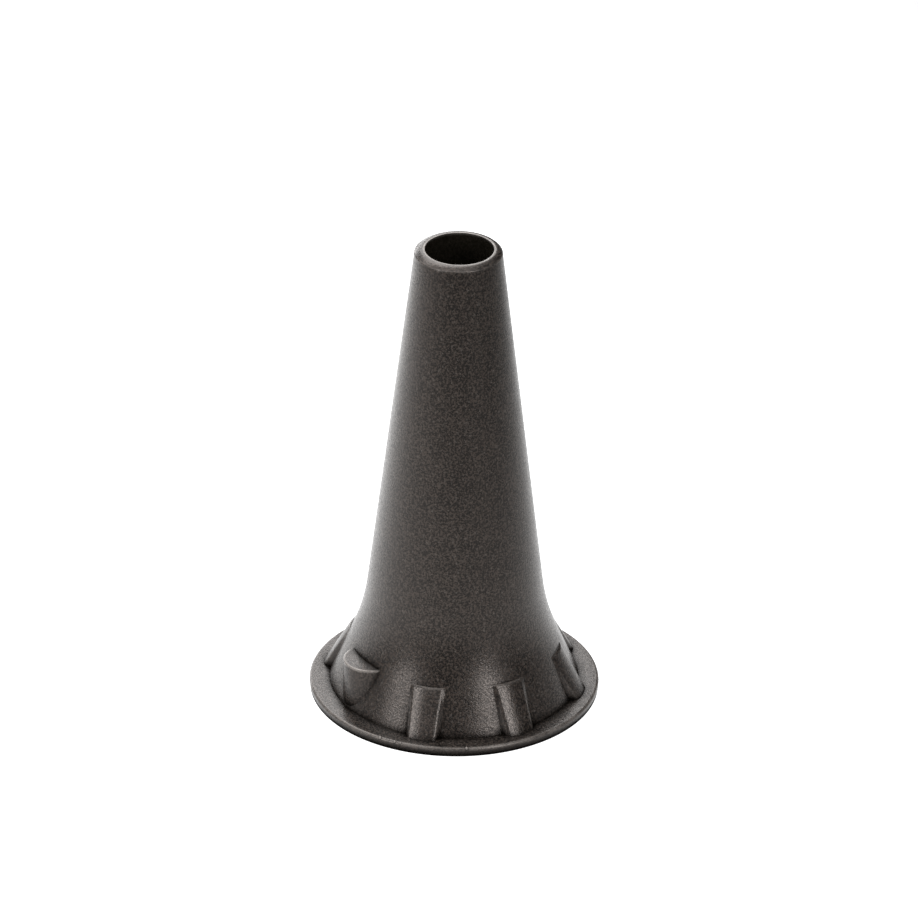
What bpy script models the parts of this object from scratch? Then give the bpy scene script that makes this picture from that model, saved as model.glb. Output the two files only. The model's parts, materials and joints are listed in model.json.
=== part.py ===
"""Ear speculum: the plastic funnel that is pushed onto an otoscope's head.

One injection moulding. Metres, +Z up the axis towards the tip, origin at the centre of the flange's
underside, and the lug on -Y. The outside is a turned solid joined to its ribs and lug, and the bore is a
turned cutter that runs right through.
"""

import math

import bmesh
import bpy

MM = 0.001
SEGMENTS = 96  # flats round the axis
CHORD_ERROR = 0.005 * MM  # how far a straight step may run inside a rounded corner's arc
SHARP_ANGLE = math.radians(30)  # edges that turn more than this stay crisp

# Outside
HEIGHT = 36.4 * MM
TIP_RADIUS = 3.18 * MM  # where the taper would meet the top
TIP_ROUND = 0.47 * MM
TAPER_ANGLE = math.radians(6.86)  # from the axis
FLARE_ANGLE = math.radians(23.0)
FLARE_BLEND = 15.8 * MM  # radius between taper and flare
FLARE_FOOT_RADIUS = 9.24 * MM  # where the flare meets the flange
FLANGE_RADIUS = 10.75 * MM
FLANGE_THICKNESS = 0.75 * MM
FLANGE_DRAFT = 0.08 * MM  # the rim is this much smaller underneath
FLANGE_TOP_ROUND = 0.18 * MM
FLANGE_BOTTOM_ROUND = 0.10 * MM

# Bore
TIP_BORE_RADIUS = 2.5 * MM
BORE_TAPER_ANGLE = math.radians(6.2)
WALL = 1.0 * MM  # of the flare
SOCKET_RADIUS = 7.75 * MM
SOCKET_CHAMFER = 0.3 * MM
BORE_OVERRUN = 2.0 * MM  # how far the cutter runs past each end

# Ribs and lug, at equal steps round the flare
POSITIONS = 8  # the lug takes one and the ribs the others
RIB_TOP = 4.15 * MM
RIB_FOOT_RISE = 0.66 * MM  # above the flare, measured radially, at the flange
RIB_TOP_RISE = 0.18 * MM
RIB_FOOT_HALF_WIDTH = 1.32 * MM
RIB_FACE_HALF_WIDTH = 1.08 * MM
RIB_CROWN = 0.14 * MM  # how far its face falls from the middle to the arrises
RIB_SKIRT = 0.2 * MM  # how far its sides run on below the flare
RIB_ROOT = 1.6 * MM  # how deep a rib starts inside the body
RIB_ROUND = 0.20 * MM  # how far each arris is cut back along its faces
LUG_TOP = 4.27 * MM
LUG_RADIUS = 2.00 * MM
LUG_CENTRE = 7.19 * MM  # from the axis
LUG_ROUND = 0.20 * MM
SUNK = 0.4 * MM  # height at which ribs and lug start, inside the flange

PLASTIC_COLOUR = (0.030, 0.028, 0.027, 1.0)
PLASTIC_ROUGHNESS = 0.5


def clear_scene():
    for obj in list(bpy.data.objects):
        bpy.data.objects.remove(obj)


def rounded(corners):
    """The outline through corners given as (radius, height, rounding), with each rounding as an arc."""
    points = [corners[0][:2]]
    for (ax, az, _), (bx, bz, rounding), (cx, cz, _) in zip(corners, corners[1:], corners[2:]):
        if rounding == 0:
            points.append((bx, bz))
            continue
        into = math.atan2(bz - az, bx - ax)
        out = math.atan2(cz - bz, cx - bx)
        turn = (out - into + math.pi) % (2 * math.pi) - math.pi
        side = math.copysign(1, turn)
        back = rounding * math.tan(abs(turn) / 2)
        centre_x = bx - back * math.cos(into) - side * rounding * math.sin(into)
        centre_z = bz - back * math.sin(into) + side * rounding * math.cos(into)
        steps = math.ceil(abs(turn) / (2 * math.acos(1 - CHORD_ERROR / rounding)))
        for step in range(steps + 1):
            heading = into + turn * step / steps
            points.append(
                (
                    centre_x + side * rounding * math.sin(heading),
                    centre_z - side * rounding * math.cos(heading),
                )
            )
    points.append(corners[-1][:2])
    return points


def crossing(radius_a, height_a, angle_a, radius_b, height_b, angle_b):
    """Where two slanted walls meet. Each is a point on it and its angle from the axis, narrowing up."""
    slope_a, slope_b = math.tan(angle_a), math.tan(angle_b)
    height = (radius_a - radius_b + slope_a * height_a - slope_b * height_b) / (slope_a - slope_b)
    return radius_a - slope_a * (height - height_a), height


def flare_radius(height):
    return FLARE_FOOT_RADIUS - math.tan(FLARE_ANGLE) * (height - FLANGE_THICKNESS)


def outside_profile():
    """From the axis over the tip and down the outside to the axis again."""
    waist = crossing(
        TIP_RADIUS, HEIGHT, TAPER_ANGLE, FLARE_FOOT_RADIUS, FLANGE_THICKNESS, FLARE_ANGLE
    )
    return rounded(
        [
            (0, HEIGHT, 0),
            (TIP_RADIUS, HEIGHT, TIP_ROUND),
            (*waist, FLARE_BLEND),
            (FLARE_FOOT_RADIUS, FLANGE_THICKNESS, 0),
            (FLANGE_RADIUS, FLANGE_THICKNESS, FLANGE_TOP_ROUND),
            (FLANGE_RADIUS - FLANGE_DRAFT, 0, FLANGE_BOTTOM_ROUND),
            (0, 0, 0),
        ]
    )


def bore_profile():
    """The hollow, run past both ends of the body."""
    foot_radius = FLARE_FOOT_RADIUS - WALL / math.cos(FLARE_ANGLE)
    waist = crossing(
        TIP_BORE_RADIUS, HEIGHT, BORE_TAPER_ANGLE, foot_radius, FLANGE_THICKNESS, FLARE_ANGLE
    )
    socket_top = FLANGE_THICKNESS + (foot_radius - SOCKET_RADIUS) / math.tan(FLARE_ANGLE)
    end_radius = TIP_BORE_RADIUS - BORE_OVERRUN * math.tan(BORE_TAPER_ANGLE)
    return rounded(
        [
            (0, HEIGHT + BORE_OVERRUN, 0),
            (end_radius, HEIGHT + BORE_OVERRUN, 0),
            (*waist, FLARE_BLEND + WALL),
            (SOCKET_RADIUS, socket_top, 0),
            (SOCKET_RADIUS, SOCKET_CHAMFER, 0),
            (SOCKET_RADIUS + SOCKET_CHAMFER + BORE_OVERRUN, -BORE_OVERRUN, 0),
            (0, -BORE_OVERRUN, 0),
        ]
    )


def add_object(name, mesh):
    obj = bpy.data.objects.new(name, mesh)
    bpy.context.scene.collection.objects.link(obj)
    return obj


def turned(name, profile):
    """A solid of revolution about Z, from an outline that starts and ends on the axis."""
    mesh = bpy.data.meshes.new(name)
    points = [(radius, 0, height) for radius, height in profile]
    edges = [(i, i + 1) for i in range(len(points) - 1)]
    mesh.from_pydata(points, edges, [])
    obj = add_object(name, mesh)
    screw = obj.modifiers.new("turn", "SCREW")
    screw.axis = "Z"
    screw.steps = screw.render_steps = SEGMENTS
    screw.use_merge_vertices = True
    screw.merge_threshold = 0.001 * MM
    return obj


def as_helper(obj):
    """Marks a shape that is joined to the body or cut from it, and isn't a part itself."""
    obj.hide_render = True
    obj.display_type = "WIRE"
    return obj


def rib_rise(height):
    """How far a rib's face stands out from the flare. It grows evenly from the top down to the flange."""
    share = (RIB_TOP - height) / (RIB_TOP - FLANGE_THICKNESS)
    return RIB_TOP_RISE + (RIB_FOOT_RISE - RIB_TOP_RISE) * share


def rib_ring(height):
    """A rib's outline at one height, as a bar on -Y: root, skirt and arris, the crown, the other side."""
    foot, rise = flare_radius(height), rib_rise(height)
    lean = (RIB_FOOT_HALF_WIDTH - RIB_FACE_HALF_WIDTH) / rise
    skirt_half_width = RIB_FOOT_HALF_WIDTH + lean * RIB_SKIRT
    half = [
        (skirt_half_width, -RIB_ROOT),
        (skirt_half_width, -RIB_SKIRT),
        (RIB_FACE_HALF_WIDTH, rise - RIB_CROWN),
    ]
    ring = [(-across, above) for across, above in half] + [(0, rise)] + half[::-1]
    return [(x, x * x / (2 * foot) - foot - above, height) for x, above in ring]


def rib_mesh():
    """A bar on -Y with steep sides, whose face runs out towards the top. Its arrises get a bevel weight."""
    bm = bmesh.new()
    low, high = [[bm.verts.new(point) for point in rib_ring(height)] for height in (SUNK, RIB_TOP)]
    bm.faces.new(reversed(low))
    bm.faces.new(high)
    for i in range(len(low)):
        bm.faces.new((low[i - 1], low[i], high[i], high[i - 1]))
    bmesh.ops.recalc_face_normals(bm, faces=bm.faces)
    weight = bm.edges.layers.float.new("bevel_weight_edge")
    for ends in ((low[2], high[2]), (high[2], high[3]), (high[3], high[4]), (high[4], low[4])):
        bm.edges.get(ends)[weight] = 1.0
    mesh = bpy.data.meshes.new("rib")
    bm.to_mesh(mesh)
    bm.free()
    return mesh


def add_rib(mesh, position):
    rib = as_helper(add_object(f"rib_{position}", mesh))
    rib.rotation_euler.z = 2 * math.pi * position / POSITIONS
    bevel = rib.modifiers.new("round", "BEVEL")
    bevel.width = RIB_ROUND
    bevel.segments = 3
    bevel.limit_method = "WEIGHT"
    return rib


def add_lug():
    """An upright round boss on -Y. Only the D that stands out of the flare shows, under a flat top."""
    bm = bmesh.new()
    bmesh.ops.create_cone(
        bm,
        cap_ends=True,
        segments=SEGMENTS // 2,
        radius1=LUG_RADIUS,
        radius2=LUG_RADIUS,
        depth=LUG_TOP - SUNK,
    )
    mesh = bpy.data.meshes.new("lug")
    bm.to_mesh(mesh)
    bm.free()
    lug = as_helper(add_object("lug", mesh))
    lug.location = (0, -LUG_CENTRE, (LUG_TOP + SUNK) / 2)
    bevel = lug.modifiers.new("round", "BEVEL")
    bevel.width = LUG_ROUND
    bevel.segments = 2
    bevel.limit_method = "ANGLE"
    return lug


def plastic():
    material = bpy.data.materials.new("matte_black_plastic")
    material.use_nodes = True
    shader = material.node_tree.nodes["Principled BSDF"]
    shader.inputs["Base Color"].default_value = PLASTIC_COLOUR
    shader.inputs["Roughness"].default_value = PLASTIC_ROUGHNESS
    shader.inputs["Metallic"].default_value = 0.0
    return material


def join(body, others):
    collection = bpy.data.collections.new("mouldings")
    bpy.context.scene.collection.children.link(collection)
    for other in others:
        bpy.context.scene.collection.objects.unlink(other)
        collection.objects.link(other)
    union = body.modifiers.new("join_mouldings", "BOOLEAN")
    union.operation = "UNION"
    union.operand_type = "COLLECTION"
    union.collection = collection
    union.solver = "EXACT"


def cut(body, cutter):
    difference = body.modifiers.new("cut_bore", "BOOLEAN")
    difference.operation = "DIFFERENCE"
    difference.object = cutter
    difference.solver = "EXACT"


def settle(body):
    """Applies the body's modifiers, deletes the helpers and shades the round faces smooth."""
    graph = bpy.context.evaluated_depsgraph_get()
    mesh = bpy.data.meshes.new_from_object(body.evaluated_get(graph))
    body.modifiers.clear()
    body.data = mesh
    for obj in list(bpy.data.objects):
        if obj is not body:
            bpy.data.objects.remove(obj)
    mesh.shade_smooth()
    mesh.set_sharp_from_angle(angle=SHARP_ANGLE)


def build():
    clear_scene()
    body = turned("ear_speculum", outside_profile())
    mesh = rib_mesh()
    ribs = [add_rib(mesh, position) for position in range(1, POSITIONS)]
    join(body, [add_lug(), *ribs])
    cut(body, as_helper(turned("bore", bore_profile())))
    settle(body)
    body.data.materials.append(plastic())


build()
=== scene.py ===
"""Looks of the ear speculum: one finely meshed moulding in grained black plastic, on a pale floor.

Metres, +Z up the speculum's axis, the lug on -Y. Azimuths run from -Y towards +X, as the camera's does.
"""

import json
import math

import bmesh
import bpy
from mathutils import Matrix, Vector

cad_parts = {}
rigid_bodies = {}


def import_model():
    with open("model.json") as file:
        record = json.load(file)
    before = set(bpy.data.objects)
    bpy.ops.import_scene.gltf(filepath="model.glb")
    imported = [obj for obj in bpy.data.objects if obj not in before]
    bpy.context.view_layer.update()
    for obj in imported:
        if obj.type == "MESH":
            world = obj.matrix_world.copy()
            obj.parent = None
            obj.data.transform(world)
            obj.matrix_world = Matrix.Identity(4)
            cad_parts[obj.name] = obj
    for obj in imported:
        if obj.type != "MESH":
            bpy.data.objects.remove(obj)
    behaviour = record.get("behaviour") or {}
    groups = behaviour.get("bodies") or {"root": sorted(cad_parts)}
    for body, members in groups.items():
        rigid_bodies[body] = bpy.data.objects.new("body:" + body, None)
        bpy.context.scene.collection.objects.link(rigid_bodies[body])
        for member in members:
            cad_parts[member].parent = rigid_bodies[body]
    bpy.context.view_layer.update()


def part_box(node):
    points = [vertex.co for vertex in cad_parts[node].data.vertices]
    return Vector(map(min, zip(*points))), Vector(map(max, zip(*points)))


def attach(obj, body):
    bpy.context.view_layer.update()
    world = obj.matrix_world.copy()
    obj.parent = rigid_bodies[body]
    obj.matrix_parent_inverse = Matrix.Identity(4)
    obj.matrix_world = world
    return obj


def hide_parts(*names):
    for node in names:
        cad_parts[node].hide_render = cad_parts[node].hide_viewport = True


MM = 0.001

# Mesh
SEGMENTS = 336  # steps round the axis
ARC_STEP = math.radians(9)
BLEND_STEP = math.radians(1.6)  # on roundings larger than 1 mm
LONGEST_STEP = 0.62 * MM
LEVEL_STEP = 0.4 * MM  # up the ribs and the lug
TOP_ROUND_STEPS = 7
RIB_ARC_STEPS = 8
RIB_SIDE_STEPS = 4
RIB_FACE_STEPS = 10
LUG_FRONT_STEPS = 56
LUG_BACK_STEPS = 12
NIB_RINGS = 8
NIB_SEGMENTS = 12
SHARP_ANGLE = math.radians(27)
SLIVER = 0.0005 * MM  # edges shorter than this are dissolved

# Outside, as moulded
TIP_RADIUS = 3.18 * MM  # where the taper would meet the top
TIP_CHAMFER = 0.30 * MM
TIP_ROUND = 0.60 * MM  # where the top turns into the chamfer
TIP_EDGE_ROUND = 0.12 * MM  # where the chamfer meets the outside
TIP_LIP_ROUND = 0.04 * MM
TAPER_ANGLE = math.radians(6.86)
FLARE_ANGLE = math.radians(23.0)
FLARE_BLEND = 15.8 * MM
FLARE_FOOT_RADIUS = 9.24 * MM
FLANGE_THICKNESS = 0.75 * MM
FLANGE_DRAFT = 0.08 * MM
FLANGE_TOP_ROUND = 0.19 * MM
FLANGE_BOTTOM_ROUND = 0.10 * MM

# Bore
TIP_BORE_RADIUS = 2.5 * MM
BORE_TAPER_ANGLE = math.radians(6.2)
WALL = 1.0 * MM
SOCKET_RADIUS = 7.75 * MM
SOCKET_CHAMFER = 0.3 * MM
SOCKET_ROUND = 0.06 * MM
CORE_SHIFT = 0.09 * MM  # sideways at the tip, as a mould's long core bends a little
CORE_SHIFT_AZIMUTH = math.radians(110)

# Ribs and lug
POSITIONS = 8
RIB_TOP = 4.15 * MM
RIB_FOOT_RISE = 0.66 * MM  # above the flare, at the flange
RIB_TOP_RISE = 0.18 * MM
RIB_FOOT_HALF_WIDTH = 1.33 * MM
RIB_FACE_HALF_WIDTH = 1.06 * MM
RIB_CROWN = 0.10 / MM  # how fast its face falls away from the middle, over the distance squared
RIB_SKIRT = 0.03 * MM  # how far its sides run on below the flare
RIB_ROUND = 0.28 * MM
RIB_TOP_ROUND = 0.15 * MM
ROOT = 0.45 * MM  # how deep ribs and lug start inside the wall
LUG_TOP = 4.27 * MM
LUG_RADIUS = 2.00 * MM
LUG_CENTRE = 7.19 * MM
LUG_ROUND = 0.10 * MM
SUNK = 0.4 * MM  # how high above the underside ribs and lug start, inside the flange

# Flash left on the rim by the mould: azimuth in degrees and radius of each nib
NIBS = ((29.0, 0.12 * MM), (35.5, 0.10 * MM), (38.0, 0.08 * MM), (64.5, 0.12 * MM))
NIB_INSET = 0.08 * MM  # from the rim
NIB_DROP = 0.04 * MM  # from the flange's top

# Plastic
GRAIN_SIZE = 0.14 * MM
GRAIN_DEPTH = 0.017 * MM
SPECKLE_SIZE = 0.20 * MM
MOTTLE_SIZE = 1.3 * MM
ROUGHNESS = 0.29
GRAIN_ROUGHNESS = 0.09  # either way
MOTTLE_ROUGHNESS = 0.025  # either way
WORN_SMOOTHING = 0.03
SPECULAR_LEVEL = 0.34
BORE_SHADE_SPECULAR = 0.2  # share of the reflection left inside the bore, the rest taken away as painted shade
WEAR_AND_HIGHLIGHT_REACH = 0.22 * MM  # arrises are rubbed paler, with a painted highlight, this far in
PAINTED_SHADE_REACH = 0.80 * MM  # painted shade in the inner corners reaches this far
WEAR_AND_HIGHLIGHT_CLEARANCE = (0.25 * FLANGE_THICKNESS, 0.6 * FLANGE_THICKNESS)  # none below, full above
WORN_AND_HIGHLIGHT_RANGE = (0.70, 0.96)  # openness seen from inside the wall, from rubbed and highlighted to plain
PAINTED_SHADE_RANGE = (0.66, 0.97)  # openness seen from outside, from shut in, under full painted shade, to free
TONE_RANGE = (0.50, 0.64)  # grain, from dark to pale
SPECKLE_RANGE = (0.60, 0.80)
PATCH_RANGE = (0.30, 0.65)  # mottling, from least worn and highlighted to most
NOISE_RANGE = (0.3, 0.7)
BORE_RANGE = (0.92, 0.99)  # share of the way through the wall, from plain to bore
LEAST_WORN_AND_HIGHLIGHT = 0.35
WORN_AND_HIGHLIGHT_SHARE = 0.9
SPECKLE_SHARE = 0.7
BORE_SHADE_SHARE = 0.8
MOTTLE_SHARE = 0.1
SPECULAR_TINT = (1.0, 0.91, 0.86)
DARK_COLOUR = (0.0010, 0.0008, 0.0007)
PALE_COLOUR = (0.0275, 0.0217, 0.0184)
SPECKLE_COLOUR = (0.060, 0.053, 0.048)
# paler arrises: partly real wear, partly a painted highlight along the edges
WORN_AND_HIGHLIGHT_COLOUR = (0.190, 0.174, 0.162)
# painted shade: the colour laid into inner corners and creases
PAINTED_SHADE_COLOUR = (0.0015, 0.0012, 0.0010)
# painted shade: the darker colour inside the bore, where little light gets in
BORE_SHADE_COLOUR = (0.0045, 0.0040, 0.0026)

# Camera
VIEW_AZIMUTH = math.radians(59.3)
VIEW_ELEVATION = math.radians(30.08)
VIEW_DISTANCE = 685.5 * MM
VIEW_PITCH = math.radians(28.6845)
VIEW_YAW = math.radians(0.0185)
VIEW_ROLL = math.radians(0.606)
LENS = 362.0
SENSOR_WIDTH = 36.0

# Light
WORLD_STRENGTH = 0.05
# Azimuth from the camera's and elevation in degrees, distance, width and height in metres, radiance
LAMPS = (
    ("left_front", -54, 22, 0.9, 0.30, 0.40, 12.0),
    ("right_front", 36, 22, 0.9, 0.28, 0.36, 14.0),
    ("left_back", -135, 58, 0.9, 0.60, 0.60, 5.5),
    ("left_side", -98, 38, 0.9, 0.60, 0.50, 2.5),
    ("right_side", 98, 38, 0.9, 0.60, 0.50, 0.4),
    ("right_back", 135, 58, 0.9, 0.60, 0.60, 0.4),
    ("back", 186, 48, 0.9, 0.40, 0.85, 4.6),
    ("left_low", -160, 9, 0.9, 0.60, 0.26, 6.0),
    ("top", 0, 68, 0.9, 1.10, 1.20, 2.6),
)
LAMP_AIM = Vector((0, 0, 15 * MM))
FLOOR_HALF_WIDTH = 3.0
FLOOR_COLOUR = (0.12, 0.119, 0.118)
FLOOR_ROUGHNESS = 0.9
FLOOR_DROP = 0.02 * MM  # keeps the floor clear of the underside
FLOOR_GLOW = 1.9  # the table is lit from below round the speculum
GLOW_REACH = (30 * MM, 175 * MM)
GLOW_CENTRE = (-60 * MM, 40 * MM)  # left and back from the speculum, as the camera sees it


def rounded(corners, arc_steps=None):
    """The outline through corners given as (x, y, rounding), with each rounding as an arc."""
    points = [corners[0][:2]]
    for (ax, ay, _), (bx, by, rounding), (cx, cy, _) in zip(corners, corners[1:], corners[2:]):
        if rounding == 0:
            points.append((bx, by))
            continue
        into = math.atan2(by - ay, bx - ax)
        out = math.atan2(cy - by, cx - bx)
        turn = (out - into + math.pi) % (2 * math.pi) - math.pi
        side = math.copysign(1, turn)
        back = rounding * math.tan(abs(turn) / 2)
        centre_x = bx - back * math.cos(into) - side * rounding * math.sin(into)
        centre_y = by - back * math.sin(into) + side * rounding * math.cos(into)
        steps = arc_steps or math.ceil(abs(turn) / (BLEND_STEP if rounding > MM else ARC_STEP))
        for step in range(steps + 1):
            heading = into + turn * step / steps
            points.append(
                (
                    centre_x + side * rounding * math.sin(heading),
                    centre_y - side * rounding * math.cos(heading),
                )
            )
    points.append(corners[-1][:2])
    return points


def divided(points, parts):
    """The same outline with each step divided into its number of parts."""
    result = [points[0]]
    for (ax, ay), (bx, by), count in zip(points, points[1:], parts):
        for part in range(1, count + 1):
            share = part / count
            result.append((ax + (bx - ax) * share, ay + (by - ay) * share))
    return result


def refined(points):
    """The same outline with its long straight steps divided."""
    lengths = [math.hypot(bx - ax, by - ay) for (ax, ay), (bx, by) in zip(points, points[1:])]
    return divided(points, [max(1, math.ceil(length / LONGEST_STEP)) for length in lengths])


def crossing(radius_a, height_a, angle_a, radius_b, height_b, angle_b):
    """Where two slanted walls meet, each given by a point on it and its angle from the axis."""
    slope_a, slope_b = math.tan(angle_a), math.tan(angle_b)
    height = (radius_a - radius_b + slope_a * height_a - slope_b * height_b) / (slope_a - slope_b)
    return radius_a - slope_a * (height - height_a), height


def flare_radius(height):
    """The flare's straight part, before it blends into the taper."""
    return FLARE_FOOT_RADIUS - math.tan(FLARE_ANGLE) * (height - FLANGE_THICKNESS)


def body_outline(height, flange_radius):
    """The wall's closed outline: down the outside from the tip, under the flange and up the bore."""
    foot = (FLARE_FOOT_RADIUS, FLANGE_THICKNESS, FLARE_ANGLE)
    waist = crossing(TIP_RADIUS, height, TAPER_ANGLE, *foot)
    inner_foot = FLARE_FOOT_RADIUS - WALL / math.cos(FLARE_ANGLE)
    foot = (inner_foot, FLANGE_THICKNESS, FLARE_ANGLE)
    inner_waist = crossing(TIP_BORE_RADIUS, height, BORE_TAPER_ANGLE, *foot)
    socket_top = FLANGE_THICKNESS + (inner_foot - SOCKET_RADIUS) / math.tan(FLARE_ANGLE)
    rim_radius = flange_radius + FLANGE_DRAFT * FLANGE_TOP_ROUND / FLANGE_THICKNESS
    start = (TIP_BORE_RADIUS + 2 * TIP_LIP_ROUND, height, 0)
    corners = [
        start,
        (TIP_RADIUS - TIP_CHAMFER, height, TIP_ROUND),
        (TIP_RADIUS + math.tan(TAPER_ANGLE) * TIP_CHAMFER, height - TIP_CHAMFER, TIP_EDGE_ROUND),
        (*waist, FLARE_BLEND),
        (FLARE_FOOT_RADIUS, FLANGE_THICKNESS, 0),
        (rim_radius, FLANGE_THICKNESS, FLANGE_TOP_ROUND),
        (rim_radius - FLANGE_DRAFT, 0, FLANGE_BOTTOM_ROUND),
        (SOCKET_RADIUS + SOCKET_CHAMFER, 0, SOCKET_ROUND),
        (SOCKET_RADIUS, SOCKET_CHAMFER, SOCKET_ROUND),
        (SOCKET_RADIUS, socket_top, 0),
        (*inner_waist, FLARE_BLEND + WALL),
        (TIP_BORE_RADIUS, height, TIP_LIP_ROUND),
        start,
    ]
    return refined(rounded(corners))[:-1]


def add_object(name, mesh):
    obj = bpy.data.objects.new(name, mesh)
    bpy.context.scene.collection.objects.link(obj)
    return obj


def mesh_of(name, points, faces):
    mesh = bpy.data.meshes.new(name)
    mesh.from_pydata(points, [], faces)
    bm = bmesh.new()
    bm.from_mesh(mesh)
    bmesh.ops.recalc_face_normals(bm, faces=bm.faces)
    bm.to_mesh(mesh)
    bm.free()
    return mesh


def turned(name, outline):
    """A ring turned from a closed outline that stays off the axis."""
    count = len(outline)
    points = []
    for segment in range(SEGMENTS):
        angle = 2 * math.pi * segment / SEGMENTS
        points += [(r * math.sin(angle), -r * math.cos(angle), z) for r, z in outline]
    faces = []
    for segment in range(SEGMENTS):
        here = segment * count
        there = (segment + 1) % SEGMENTS * count
        for i in range(count):
            j = (i + 1) % count
            faces.append((here + i, here + j, there + j, there + i))
    return mesh_of(name, points, faces)


def lofted(name, rings):
    """A closed solid through rings of equally many points, with flat ends."""
    count = len(rings[0])
    points = [point for ring in rings for point in ring]
    faces = [tuple(range(count)), tuple(range(len(points) - count, len(points)))]
    for level in range(len(rings) - 1):
        for i in range(count):
            j = (i + 1) % count
            low, high = level * count, (level + 1) * count
            faces.append((low + i, low + j, high + j, high + i))
    return mesh_of(name, points, faces)


def levels(top, round_radius):
    """(height, inset) up a moulding whose top arris has that rounding."""
    shoulder = top - round_radius
    plain = math.ceil((shoulder - SUNK) / LEVEL_STEP)
    result = [(SUNK + (shoulder - SUNK) * i / plain, 0) for i in range(plain)]
    for step in range(TOP_ROUND_STEPS + 1):
        angle = math.pi / 2 * step / TOP_ROUND_STEPS
        inset = round_radius * (1 - math.cos(angle))
        result.append((shoulder + round_radius * math.sin(angle), inset))
    return result


def rib_rise(height):
    """How far a rib's face stands out from the flare. It grows evenly down to the flange."""
    share = (RIB_TOP - height) / (RIB_TOP - FLANGE_THICKNESS)
    return RIB_TOP_RISE + (RIB_FOOT_RISE - RIB_TOP_RISE) * share


def rib_section(rise, inset):
    """A rib's outline across its length as (across, above the flare), narrowed and lowered by inset."""
    lean = (RIB_FOOT_HALF_WIDTH - RIB_FACE_HALF_WIDTH) / rise
    skirt = RIB_FOOT_HALF_WIDTH + lean * RIB_SKIRT - inset
    face = RIB_FACE_HALF_WIDTH - inset
    section = rounded(
        [
            (-skirt, -ROOT, 0),
            (-skirt, -RIB_SKIRT, 0),
            (-face, rise - inset, RIB_ROUND),
            (face, rise - inset, RIB_ROUND),
            (skirt, -RIB_SKIRT, 0),
            (skirt, -ROOT, 0),
        ],
        RIB_ARC_STEPS,
    )
    arris = [1] * RIB_ARC_STEPS
    side = [1, RIB_SIDE_STEPS]
    return divided(section, side + arris + [RIB_FACE_STEPS] + arris + side[::-1])


def rib_mesh():
    """A bar on -Y with sloping sides and a crowned face that runs out towards the top."""
    rings = []
    for height, inset in levels(RIB_TOP, RIB_TOP_ROUND):
        foot = flare_radius(height)
        rise = rib_rise(height)
        ring = []
        for x, above in rib_section(rise, inset):
            crowned = above * (1 - RIB_CROWN * x * x / rise) if above > 0 else above
            ring.append((x, x * x / (2 * foot) - foot - crowned, height))
        rings.append(ring)
    return lofted("rib", rings)


def lug_mesh():
    """An upright round boss on -Y with a flat top, of which only the D outside the flare is made."""
    rings = []
    for height, inset in levels(LUG_TOP, LUG_ROUND):
        radius = LUG_RADIUS - inset
        root = flare_radius(height) - ROOT
        reach = math.acos((root**2 - LUG_CENTRE**2 - radius**2) / (2 * LUG_CENTRE * radius))
        ring = []
        for i in range(LUG_FRONT_STEPS + 1):
            angle = reach * (2 * i / LUG_FRONT_STEPS - 1)
            ring.append((radius * math.sin(angle), -LUG_CENTRE - radius * math.cos(angle), height))
        end = math.atan2(ring[-1][0], -ring[-1][1])
        for i in range(1, LUG_BACK_STEPS):
            angle = end * (1 - 2 * i / LUG_BACK_STEPS)
            ring.append((root * math.sin(angle), -root * math.cos(angle), height))
        rings.append(ring)
    return lofted("lug", rings)


def nib_mesh(radius):
    """A small rounded nib."""
    turns = [2 * math.pi * i / NIB_SEGMENTS for i in range(NIB_SEGMENTS)]
    rings = []
    for step in range(1, NIB_RINGS):
        rise = math.pi * (step / NIB_RINGS - 0.5)
        ring_radius = radius * math.cos(rise)
        height = radius * math.sin(rise)
        rings.append([(ring_radius * math.cos(t), ring_radius * math.sin(t), height) for t in turns])
    return lofted("nib", rings)


def wall_share(radius, height, top):
    """0 on the outside of the wall to 1 on the bore's side."""
    outside = max(TIP_RADIUS + math.tan(TAPER_ANGLE) * (top - height), flare_radius(height))
    inner_flare = flare_radius(height) - WALL / math.cos(FLARE_ANGLE)
    inside = max(TIP_BORE_RADIUS + math.tan(BORE_TAPER_ANGLE) * (top - height), inner_flare)
    return min(max((outside - radius) / (outside - inside), 0), 1)


def core_shift(height, top):
    """How far the bore lies off the axis at that height."""
    distance = CORE_SHIFT * (height / top) ** 2
    return Matrix.Rotation(CORE_SHIFT_AZIMUTH, 3, "Z") @ Vector((0, -distance, 0))


def shift_core(mesh, top):
    """Moves the bore's side of the wall sideways, most of all at the tip."""
    for vertex in mesh.vertices:
        x, y, z = vertex.co
        vertex.co += core_shift(z, top) * wall_share(math.hypot(x, y), z, top)


def sharpen_joints(mesh):
    """Keeps the line crisp where the ribs, lug and nibs meet the turned body."""
    owners = {}
    for polygon in mesh.polygons:
        for edge in polygon.edge_keys:
            owners.setdefault(edge, set()).add(polygon.material_index)
    for edge in mesh.edges:
        if len(owners[edge.key]) > 1:
            edge.use_edge_sharp = True


def mark_bore(mesh, top):
    """An attribute that is 1 inside the bore and 0 outside."""
    bore = mesh.attributes.new("bore", "FLOAT", "POINT")
    for vertex, value in zip(mesh.vertices, bore.data):
        x, y, z = vertex.co - core_shift(vertex.co.z, top)
        value.value = wall_share(math.hypot(x, y), z, top)


def add_helper(helpers, mesh, mark):
    """Puts a shape to be joined into the collection helpers, with its faces marked."""
    mesh.materials.clear()
    mesh.materials.append(mark)
    helper = bpy.data.objects.new("helper", mesh)
    helpers.objects.link(helper)
    return helper


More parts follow.
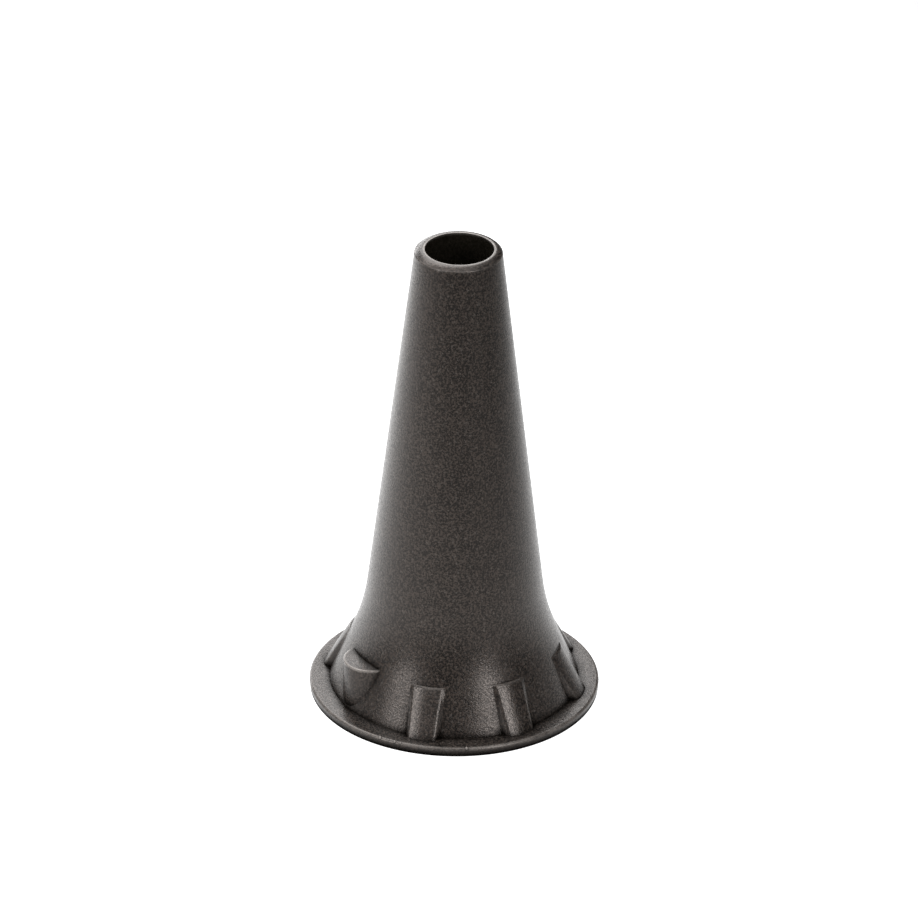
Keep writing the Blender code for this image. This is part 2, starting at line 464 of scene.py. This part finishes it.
def add_helpers(helpers, flange_radius, mark):
    """The lug, the ribs and the nibs, each in its place."""
    rib = rib_mesh()
    for position in range(POSITIONS):
        helper = add_helper(helpers, rib if position else lug_mesh(), mark)
        helper.rotation_euler.z = 2 * math.pi * position / POSITIONS
    for azimuth, radius in NIBS:
        helper = add_helper(helpers, nib_mesh(radius), mark)
        place = Vector((0, NIB_INSET - flange_radius, FLANGE_THICKNESS - NIB_DROP))
        helper.location = Matrix.Rotation(math.radians(azimuth), 3, "Z") @ place


def apply_modifiers(obj):
    graph = bpy.context.evaluated_depsgraph_get()
    mesh = bpy.data.meshes.new_from_object(obj.evaluated_get(graph))
    obj.modifiers.clear()
    obj.data = mesh
    return mesh


def dissolve_slivers(mesh):
    bm = bmesh.new()
    bm.from_mesh(mesh)
    bmesh.ops.dissolve_degenerate(bm, dist=SLIVER, edges=bm.edges)
    bm.to_mesh(mesh)
    bm.free()


def moulding(height, flange_radius):
    """The whole speculum as one closed mesh."""
    name = "ear_speculum_moulding"
    body = add_object(name, turned(name, body_outline(height, flange_radius)))
    shift_core(body.data, height)
    marks = [bpy.data.materials.new(mark) for mark in ("turned_mark", "added_mark")]
    body.data.materials.append(marks[0])
    helpers = bpy.data.collections.new("helpers")
    bpy.context.scene.collection.children.link(helpers)
    add_helpers(helpers, flange_radius, marks[1])
    union = body.modifiers.new("join", "BOOLEAN")
    union.operation = "UNION"
    union.operand_type = "COLLECTION"
    union.collection = helpers
    union.solver = "EXACT"
    union.material_mode = "TRANSFER"
    mesh = apply_modifiers(body)
    for helper in list(helpers.objects):
        bpy.data.objects.remove(helper)
    bpy.data.collections.remove(helpers)
    dissolve_slivers(mesh)
    mesh.shade_smooth()
    mesh.set_sharp_from_angle(angle=SHARP_ANGLE)
    sharpen_joints(mesh)
    mesh.materials.clear()
    for mark in marks:
        bpy.data.materials.remove(mark)
    mark_bore(mesh, height)
    weighted = body.modifiers.new("normals", "WEIGHTED_NORMAL")
    weighted.keep_sharp = True
    apply_modifiers(body)
    return body


def node(tree, kind, **settings):
    """A new shader node with those properties."""
    made = tree.nodes.new(kind)
    for name, value in settings.items():
        setattr(made, name, value)
    return made


def grain(tree, place, feature, detail):
    """Even noise whose lumps are about that size, from 0 to 1."""
    noise_node = node(tree, "ShaderNodeTexNoise", noise_dimensions="3D")
    noise_node.inputs["Scale"].default_value = 1 / feature
    noise_node.inputs["Detail"].default_value = detail
    noise_node.inputs["Roughness"].default_value = 0.6
    tree.links.new(place, noise_node.inputs["Vector"])
    return noise_node.outputs["Fac"]


def openness(tree, reach, inside):
    """How free the space is round a point, from 0 to 1, as far as reach."""
    occlusion = node(tree, "ShaderNodeAmbientOcclusion", samples=8, inside=inside)
    occlusion.inputs["Distance"].default_value = reach
    return occlusion.outputs["AO"]


def ranged(tree, value, from_low, from_high, to_low, to_high):
    """The value carried over from one range to another and held within it."""
    map_node = node(tree, "ShaderNodeMapRange", clamp=True)
    names = ("From Min", "From Max", "To Min", "To Max")
    for name, number in zip(names, (from_low, from_high, to_low, to_high)):
        map_node.inputs[name].default_value = number
    tree.links.new(value, map_node.inputs["Value"])
    return map_node.outputs["Result"]


def combined(tree, operation, first, second):
    """The sum, difference or product of two values, which may be plain numbers."""
    math_node = node(tree, "ShaderNodeMath", operation=operation)
    for socket, value in zip(math_node.inputs, (first, second)):
        if isinstance(value, (int, float)):
            socket.default_value = value
        else:
            tree.links.new(value, socket)
    return math_node.outputs["Value"]


def blended(tree, share, first, second):
    """The first colour where share is 0, the second where it is 1."""
    mix_node = node(tree, "ShaderNodeMix", data_type="RGBA")
    tree.links.new(share, mix_node.inputs["Factor"])
    for socket, colour in zip((mix_node.inputs[6], mix_node.inputs[7]), (first, second)):
        if isinstance(colour, tuple):
            socket.default_value = (*colour, 1)
        else:
            tree.links.new(colour, socket)
    return mix_node.outputs[2]


def plastic():
    """Black plastic off a spark-eroded mould: fine grain, faint mottling, paler rubbed arrises that
    also carry a painted highlight, and painted shade in the creases and the bore.
    """
    material = bpy.data.materials.new("matte_black_plastic")
    material.use_nodes = True
    tree = material.node_tree
    shader = tree.nodes["Principled BSDF"]
    place = node(tree, "ShaderNodeTexCoord").outputs["Object"]
    fine = grain(tree, place, GRAIN_SIZE, 2.0)
    speckle = grain(tree, place, SPECKLE_SIZE, 1.0)
    mottle = grain(tree, place, MOTTLE_SIZE, 3.0)
    bore = node(tree, "ShaderNodeAttribute", attribute_name="bore").outputs["Fac"]

    # wear on the arrises, which also paints a highlight along them
    worn_and_highlight = ranged(tree, openness(tree, WEAR_AND_HIGHLIGHT_REACH, True), *WORN_AND_HIGHLIGHT_RANGE, 1.0, 0.0)
    axes = node(tree, "ShaderNodeSeparateXYZ")
    tree.links.new(place, axes.inputs["Vector"])
    exposed = ranged(tree, axes.outputs["Z"], *WEAR_AND_HIGHLIGHT_CLEARANCE, 0.0, 1.0)
    worn_and_highlight = combined(tree, "MULTIPLY", worn_and_highlight, exposed)
    patches = ranged(tree, mottle, *PATCH_RANGE, LEAST_WORN_AND_HIGHLIGHT, 1.0)
    worn_and_highlight = combined(tree, "MULTIPLY", worn_and_highlight, patches)
    # painted shade: ambient occlusion darkens the colour and weakens the reflection in inner corners
    # and creases
    unshaded = ranged(tree, openness(tree, PAINTED_SHADE_REACH, False), *PAINTED_SHADE_RANGE, 0.0, 1.0)

    lightness = combined(tree, "ADD", fine, combined(tree, "MULTIPLY", mottle, MOTTLE_SHARE))
    pale = ranged(tree, lightness, *TONE_RANGE, 0.0, 1.0)
    speckled = ranged(tree, speckle, *SPECKLE_RANGE, 0.0, SPECKLE_SHARE)
    # painted shade inside the bore, growing towards the bore's side of the wall
    inside = ranged(tree, bore, *BORE_RANGE, 0.0, BORE_SHADE_SHARE)
    tone = blended(tree, pale, DARK_COLOUR, PALE_COLOUR)
    tone = blended(tree, speckled, tone, SPECKLE_COLOUR)
    tone = blended(tree, combined(tree, "MULTIPLY", worn_and_highlight, WORN_AND_HIGHLIGHT_SHARE), tone, WORN_AND_HIGHLIGHT_COLOUR)
    tone = blended(tree, inside, tone, BORE_SHADE_COLOUR)
    tone = blended(tree, unshaded, PAINTED_SHADE_COLOUR, tone)
    tree.links.new(tone, shader.inputs["Base Color"])

    rough, smooth = ROUGHNESS + GRAIN_ROUGHNESS, ROUGHNESS - GRAIN_ROUGHNESS
    grained = ranged(tree, fine, *NOISE_RANGE, rough, smooth)
    mottled = ranged(tree, mottle, *NOISE_RANGE, -MOTTLE_ROUGHNESS, MOTTLE_ROUGHNESS)
    smoothed = combined(tree, "MULTIPLY", worn_and_highlight, WORN_SMOOTHING)
    roughness = combined(tree, "SUBTRACT", combined(tree, "ADD", grained, mottled), smoothed)
    tree.links.new(roughness, shader.inputs["Roughness"])

    # painted shade: less reflection inside the bore and in the creases
    outside = ranged(tree, bore, *BORE_RANGE, 1.0, BORE_SHADE_SPECULAR)
    shown = combined(tree, "MULTIPLY", unshaded, outside)
    level = combined(tree, "MULTIPLY", shown, SPECULAR_LEVEL)
    tree.links.new(level, shader.inputs["Specular IOR Level"])
    shader.inputs["Specular Tint"].default_value = (*SPECULAR_TINT, 1)

    bump = node(tree, "ShaderNodeBump")
    bump.inputs["Strength"].default_value = 1.0
    bump.inputs["Distance"].default_value = GRAIN_DEPTH
    tree.links.new(fine, bump.inputs["Height"])
    tree.links.new(bump.outputs["Normal"], shader.inputs["Normal"])
    return material


def add_camera():
    """The camera, off -Y by VIEW_AZIMUTH, aimed by pitch and yaw and rolled about its line of sight."""
    spin = Matrix.Rotation(VIEW_AZIMUTH, 3, "Z")
    place = Vector((0, -math.cos(VIEW_ELEVATION), math.sin(VIEW_ELEVATION))) * VIEW_DISTANCE
    level = math.cos(VIEW_PITCH)
    forward = Vector((math.sin(VIEW_YAW) * level, math.cos(VIEW_YAW) * level, -math.sin(VIEW_PITCH)))
    flat_right = forward.cross(Vector((0, 0, 1))).normalized()
    flat_up = flat_right.cross(forward)
    right = flat_right * math.cos(VIEW_ROLL) + flat_up * math.sin(VIEW_ROLL)
    up = flat_up * math.cos(VIEW_ROLL) - flat_right * math.sin(VIEW_ROLL)
    data = bpy.data.cameras.new("camera")
    data.lens = LENS
    data.sensor_width = SENSOR_WIDTH
    data.clip_start = 0.01
    data.clip_end = 20
    camera = add_object("camera", data)
    axes = Matrix((right, up, -forward)).transposed()
    camera.matrix_world = Matrix.Translation(spin @ place) @ (spin @ axes).to_4x4()
    bpy.context.scene.camera = camera


def light_table(covered):
    """A pale floor, lit from below except within the radius that the speculum covers."""
    material = bpy.data.materials.new("floor")
    material.use_nodes = True
    tree = material.node_tree
    shader = tree.nodes["Principled BSDF"]
    shader.inputs["Base Color"].default_value = (*FLOOR_COLOUR, 1)
    shader.inputs["Roughness"].default_value = FLOOR_ROUGHNESS
    shader.inputs["Emission Color"].default_value = (1, 1, 1, 1)
    place = node(tree, "ShaderNodeTexCoord").outputs["Object"]
    away = node(tree, "ShaderNodeVectorMath", operation="DISTANCE")
    tree.links.new(place, away.inputs[0])
    away.inputs[1].default_value = Matrix.Rotation(VIEW_AZIMUTH, 3, "Z") @ Vector((*GLOW_CENTRE, 0))
    glow = ranged(tree, away.outputs["Value"], *GLOW_REACH, FLOOR_GLOW, 0.0)
    centre = node(tree, "ShaderNodeVectorMath", operation="LENGTH")
    tree.links.new(place, centre.inputs[0])
    uncovered = ranged(tree, centre.outputs["Value"], 0.9 * covered, covered, 0.0, 1.0)
    tree.links.new(combined(tree, "MULTIPLY", glow, uncovered), shader.inputs["Emission Strength"])
    return material


def add_floor(covered):
    mesh = bpy.data.meshes.new("floor")
    bm = bmesh.new()
    bmesh.ops.create_grid(bm, x_segments=1, y_segments=1, size=FLOOR_HALF_WIDTH)
    bm.to_mesh(mesh)
    bm.free()
    mesh.materials.append(light_table(covered))
    floor = add_object("floor", mesh)
    floor.location.z = -FLOOR_DROP


def softbox(name, azimuth, elevation, distance, width, height, radiance):
    """A lamp aimed at the speculum, its azimuth running to the right from the camera's."""
    data = bpy.data.lights.new(name, "AREA")
    data.shape = "RECTANGLE"
    data.size = width
    data.size_y = height
    data.energy = math.pi * radiance * width * height
    lamp = add_object(name, data)
    turn, rise = VIEW_AZIMUTH + math.radians(azimuth), math.radians(elevation)
    level = math.cos(rise)
    back = Vector((math.sin(turn) * level, -math.cos(turn) * level, math.sin(rise)))
    lamp.location = LAMP_AIM + back * distance
    lamp.rotation_mode = "QUATERNION"
    lamp.rotation_quaternion = back.to_track_quat("Z", "Y")


def light():
    world = bpy.data.worlds.new("world")
    world.use_nodes = True
    bpy.context.scene.world = world
    background = world.node_tree.nodes["Background"]
    background.inputs["Color"].default_value = (1, 1, 1, 1)
    background.inputs["Strength"].default_value = WORLD_STRENGTH
    for lamp in LAMPS:
        softbox(*lamp)
    bpy.context.scene.view_settings.view_transform = "Standard"


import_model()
low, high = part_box("ear_speculum")

speculum = moulding(high.z, high.x)
speculum.data.materials.append(plastic())
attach(speculum, "root")
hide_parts("ear_speculum")

add_floor(high.x)
add_camera()
light()
